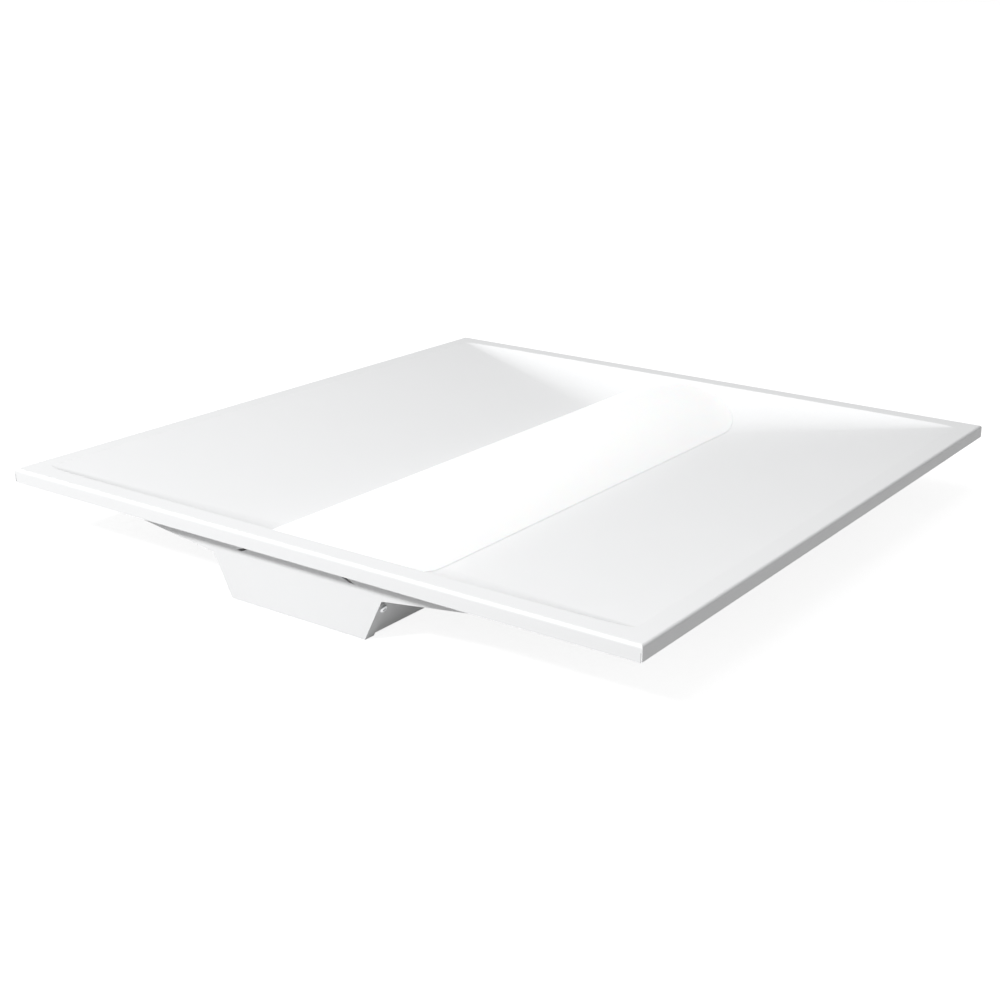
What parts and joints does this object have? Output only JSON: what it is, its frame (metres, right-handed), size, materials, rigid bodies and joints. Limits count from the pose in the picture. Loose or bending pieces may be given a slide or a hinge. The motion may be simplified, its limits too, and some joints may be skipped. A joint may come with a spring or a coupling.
{
  "type": "recessed troffer light",
  "caption": "Square lay-in recessed troffer: pressed white reflector pan with coved ends, barrel lens, driver channel behind, flip-out grid clips.",
  "frame": {"origin": "middle of the plane that the fixture lies on when it rests on its back, under the end plates' return flanges", "axes": "+Z out of the luminous face, +Y along the lens, +X across the lens. As pictured the fixture lies face up; in a ceiling it is turned over, so +Z points down into the room"},
  "size_m": [0.6032, 0.6032, 0.061],
  "materials": {
    "white_enamel": "fine-textured white powder coat on steel",
    "tray_enamel": "high-reflectance matte white on steel",
    "frosted_acrylic": "frosted white acrylic, translucent",
    "zinc_steel": "zinc-plated steel",
    "spring_steel": "bare spring steel",
    "board_white": "white solder mask on an aluminium-backed board",
    "led_phosphor": "yellow phosphor package",
    "driver_enamel": "white painted steel can",
    "terminal_plastic": "pale grey moulded nylon",
    "plug_plastic": "pale moulded nylon",
    "lead_black": "black wire insulation",
    "lead_white": "white wire insulation",
    "lead_red": "red wire insulation",
    "lead_blue": "blue wire insulation"
  },
  "bodies": {
    "housing": {"reflector_pan": "white_enamel", "channel": "white_enamel", "end_plate_front": "white_enamel", "end_plate_rear": "white_enamel", "end_plate_screws": "zinc_steel", "led_tray": "tray_enamel", "tray_standoffs": "zinc_steel", "tray_screws": "zinc_steel", "led_board_left": "board_white", "led_board_right": "board_white", "led_chips_left": "led_phosphor", "led_chips_right": "led_phosphor", "board_screws": "zinc_steel", "driver_base": "driver_enamel", "driver_lid": "driver_enamel", "driver_screws": "zinc_steel", "driver_terminals": "terminal_plastic", "disconnect_plug": "plug_plastic", "disconnect_socket": "terminal_plastic", "board_connector": "terminal_plastic", "supply_lead_live": "lead_black", "supply_lead_neutral": "lead_white", "board_lead_plus": "lead_red", "board_lead_minus": "lead_blue", "ground_screw": "zinc_steel", "lens_springs": "spring_steel", "access_hinge_pin": "zinc_steel", "clip_pins": "zinc_steel", "clip_bracket_front_left": "zinc_steel", "clip_bracket_front_right": "zinc_steel", "clip_bracket_rear_left": "zinc_steel", "clip_bracket_rear_right": "zinc_steel"},
    "lens": {"lens": "frosted_acrylic"},
    "access_cover": {"access_cover": "white_enamel", "cover_screw": "zinc_steel"},
    "grid_clip_front_left": {"grid_clip_front_left": "zinc_steel"},
    "grid_clip_front_right": {"grid_clip_front_right": "zinc_steel"},
    "grid_clip_rear_left": {"grid_clip_rear_left": "zinc_steel"},
    "grid_clip_rear_right": {"grid_clip_rear_right": "zinc_steel"}
  },
  "joints": [
    {"name": "lens_lift", "type": "slide", "parent": "housing", "child": "lens", "axis": [0, 0, 1], "range_m": [0, 0.06]},
    {"name": "access_cover_hinge", "type": "hinge", "parent": "housing", "child": "access_cover", "pos_m": [-0.08147, -0.17, 0.0287], "axis": [0, 1, 0], "range_deg": [0, 105]},
    {"name": "grid_clip_front_left_flip", "type": "hinge", "parent": "housing", "child": "grid_clip_front_left", "pos_m": [-0.29313, -0.18, 0.0525], "axis": [0, 1, 0], "range_deg": [0, 90]},
    {"name": "grid_clip_front_right_flip", "type": "hinge", "parent": "housing", "child": "grid_clip_front_right", "pos_m": [0.29313, -0.18, 0.0525], "axis": [0, -1, 0], "range_deg": [0, 90]},
    {"name": "grid_clip_rear_left_flip", "type": "hinge", "parent": "housing", "child": "grid_clip_rear_left", "pos_m": [-0.29313, 0.18, 0.0525], "axis": [0, 1, 0], "range_deg": [0, 90]},
    {"name": "grid_clip_rear_right_flip", "type": "hinge", "parent": "housing", "child": "grid_clip_rear_right", "pos_m": [0.29313, 0.18, 0.0525], "axis": [0, -1, 0], "range_deg": [0, 90]}
  ]
}
